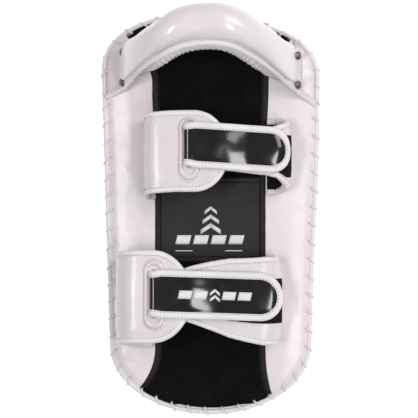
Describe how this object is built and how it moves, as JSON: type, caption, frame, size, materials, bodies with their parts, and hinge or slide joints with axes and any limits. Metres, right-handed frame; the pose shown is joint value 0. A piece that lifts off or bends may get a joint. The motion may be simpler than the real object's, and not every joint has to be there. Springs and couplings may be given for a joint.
{
  "type": "thai kick pad",
  "caption": "Curved foam kick pad with a laced leather edge, a suede forearm channel, two hook-and-loop arm straps, a grip and a padded hand guard.",
  "frame": {"origin": "centre of the outline at the flat strike face, which the pad lies on", "axes": "+X across the pad, +Y along the forearm towards the hand guard, +Z away from the strike face"},
  "size_m": [0.215, 0.4015, 0.181],
  "materials": {
    "white_leather": "semi-gloss",
    "white_binding": "satin",
    "black_suede": "velvet nap",
    "black_vinyl": "satin",
    "black_gloss_leather": "gloss",
    "hook_and_loop": "looped pile",
    "foam": "closed-cell foam",
    "lace": "raw thong",
    "rivet_steel": "domed caps"
  },
  "bodies": {
    "pad": {"back_panel_left": "white_leather", "back_panel_right": "white_leather", "centre_binding_left": "black_vinyl", "centre_binding_right": "black_vinyl", "centre_panel_foot": "black_suede", "centre_panel_head": "black_suede", "centre_panel_middle": "black_vinyl", "edge_lace": "lace", "edge_welt": "white_binding", "foam_back_layer": "foam", "foam_core_layer": "foam", "foam_strike_layer": "foam", "guard_binding": "white_binding", "guard_cover": "white_leather", "guard_lining": "white_binding", "guard_rivet_left_foot": "rivet_steel", "guard_rivet_left_head": "rivet_steel", "guard_rivet_right_foot": "rivet_steel", "guard_rivet_right_head": "rivet_steel", "guard_roll": "foam", "guard_tab_left": "white_leather", "guard_tab_right": "white_leather", "handle_grip": "white_leather", "handle_rivet_left": "rivet_steel", "handle_rivet_right": "rivet_steel", "handle_strap_left": "white_leather", "handle_strap_right": "white_leather", "side_wall": "white_leather", "strike_face": "white_leather", "strike_piping": "white_leather"},
    "upper_flap": {"upper_flap_cover": "white_leather", "upper_flap_lining": "black_suede", "upper_flap_binding": "white_binding", "upper_slot_ring": "white_leather", "upper_strap_turn": "black_gloss_leather"},
    "upper_wing": {"upper_wing_cover": "white_leather", "upper_wing_lining": "black_suede", "upper_wing_binding": "white_binding", "upper_loop_patch": "hook_and_loop"},
    "upper_tongue": {"upper_tongue": "black_gloss_leather", "upper_tongue_binding": "white_binding", "upper_hook_patch": "hook_and_loop"},
    "lower_flap": {"lower_flap_cover": "white_leather", "lower_flap_lining": "black_suede", "lower_flap_binding": "white_binding", "lower_slot_ring": "white_leather", "lower_strap_turn": "black_gloss_leather"},
    "lower_wing": {"lower_wing_cover": "white_leather", "lower_wing_lining": "black_suede", "lower_wing_binding": "white_binding", "lower_loop_patch": "hook_and_loop"},
    "lower_tongue": {"lower_tongue": "black_gloss_leather", "lower_tongue_binding": "white_binding", "lower_hook_patch": "hook_and_loop"}
  },
  "joints": [
    {"name": "upper_flap_lift", "type": "hinge", "parent": "pad", "child": "upper_flap", "pos_m": [-0.0556, 0, 0.0944], "axis": [0, -1, 0], "range_deg": [0, 8]},
    {"name": "upper_wing_lift", "type": "hinge", "parent": "pad", "child": "upper_wing", "pos_m": [0.0566, 0, 0.0946], "axis": [0, 1, 0], "range_deg": [0, 3.2]},
    {"name": "upper_tongue_peel", "type": "hinge", "parent": "upper_flap", "child": "upper_tongue", "pos_m": [-0.0232, 0, 0.1386], "axis": [0, -1, 0], "range_deg": [0, 160]},
    {"name": "lower_flap_lift", "type": "hinge", "parent": "pad", "child": "lower_flap", "pos_m": [-0.08, 0, 0.102], "axis": [0, -1, 0], "range_deg": [0, 8]},
    {"name": "lower_wing_lift", "type": "hinge", "parent": "pad", "child": "lower_wing", "pos_m": [0.0556, 0, 0.0946], "axis": [0, 1, 0], "range_deg": [0, 2]},
    {"name": "lower_tongue_peel", "type": "hinge", "parent": "lower_flap", "child": "lower_tongue", "pos_m": [-0.0563, 0, 0.1386], "axis": [0, -1, 0], "range_deg": [0, 160]}
  ],
  "couplings": [
    {"joint": "upper_flap_lift", "follows": "upper_tongue_peel", "ratio": 0.05},
    {"joint": "upper_wing_lift", "follows": "upper_tongue_peel", "ratio": 0.02},
    {"joint": "lower_flap_lift", "follows": "lower_tongue_peel", "ratio": 0.05},
    {"joint": "lower_wing_lift", "follows": "lower_tongue_peel", "ratio": 0.0125}
  ]
}
